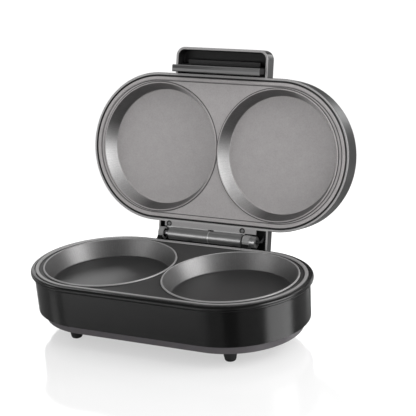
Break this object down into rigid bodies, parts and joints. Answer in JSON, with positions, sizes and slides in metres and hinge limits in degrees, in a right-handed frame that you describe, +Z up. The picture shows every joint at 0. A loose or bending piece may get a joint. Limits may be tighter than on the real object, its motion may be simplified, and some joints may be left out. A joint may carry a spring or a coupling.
{
  "type": "electric omelette maker",
  "caption": "Countertop omelette maker, shown open: hinged lid, round cooking pockets in both plates, hollow front handle with a swinging latch.",
  "frame": {"origin": "on the worktop, under the middle of the open machine", "axes": "+X to the machine's right as seen from its front, -Y towards the front, +Z up"},
  "size_m": [0.28, 0.2252, 0.2415],
  "materials": {
    "gloss_black": "gloss",
    "matt_base": "matte",
    "black_rubber": "matte",
    "screw_steel": "satin",
    "dark_coating": "satin",
    "grey_coating": "satin",
    "element_sheath": "satin",
    "reflector_steel": "satin",
    "reflector_aluminium": "satin",
    "thermostat_metal": "satin",
    "block_plastic": "matte",
    "wire_insulation": "matte",
    "pin_steel": "polished",
    "bush_grey": "satin",
    "casing_grey": "matte",
    "red_lens": "gloss",
    "green_lens": "gloss",
    "lamp_glass": "gloss",
    "sleeve_grey": "satin",
    "latch_dark": "gloss"
  },
  "bodies": {
    "base": {"base_shell": "gloss_black", "base_shell_back": "gloss_black", "bottom_cover": "matt_base", "feet": "black_rubber", "cover_screws": "screw_steel", "lower_plate": "dark_coating", "lower_plate_screws": "screw_steel", "lower_element": "element_sheath", "lower_reflector": "reflector_steel", "lower_reflector_screws": "screw_steel", "thermostat": "thermostat_metal", "thermostat_screws": "screw_steel", "terminal_block": "block_plastic", "base_wires": "wire_insulation", "cord_gland": "black_rubber", "hinge_pin": "pin_steel", "hinge_bush": "bush_grey", "hinge_lead": "black_rubber"},
    "lid": {"lid_casing": "casing_grey", "lid_top_panel": "gloss_black", "upper_plate": "grey_coating", "upper_plate_screws": "screw_steel", "upper_element": "element_sheath", "upper_reflector": "reflector_aluminium", "upper_reflector_screws": "screw_steel", "thermal_fuse": "block_plastic", "lid_wires": "black_rubber", "power_light": "red_lens", "ready_light": "green_lens", "indicator_lamps": "lamp_glass", "hinge_sleeve_left": "sleeve_grey", "hinge_sleeve_right": "sleeve_grey", "hinge_screws": "screw_steel", "latch_pin": "pin_steel"},
    "latch": {"latch": "latch_dark"}
  },
  "joints": [
    {"name": "lid_hinge", "type": "hinge", "parent": "base", "child": "lid", "pos_m": [0, 0.04589, 0.0645], "axis": [1, 0, 0], "range_deg": [0, 105]},
    {"name": "latch_pivot", "type": "hinge", "parent": "lid", "child": "latch", "pos_m": [0, 0.09645, 0.22033], "axis": [1, 0, 0], "range_deg": [-6, 7]}
  ]
}
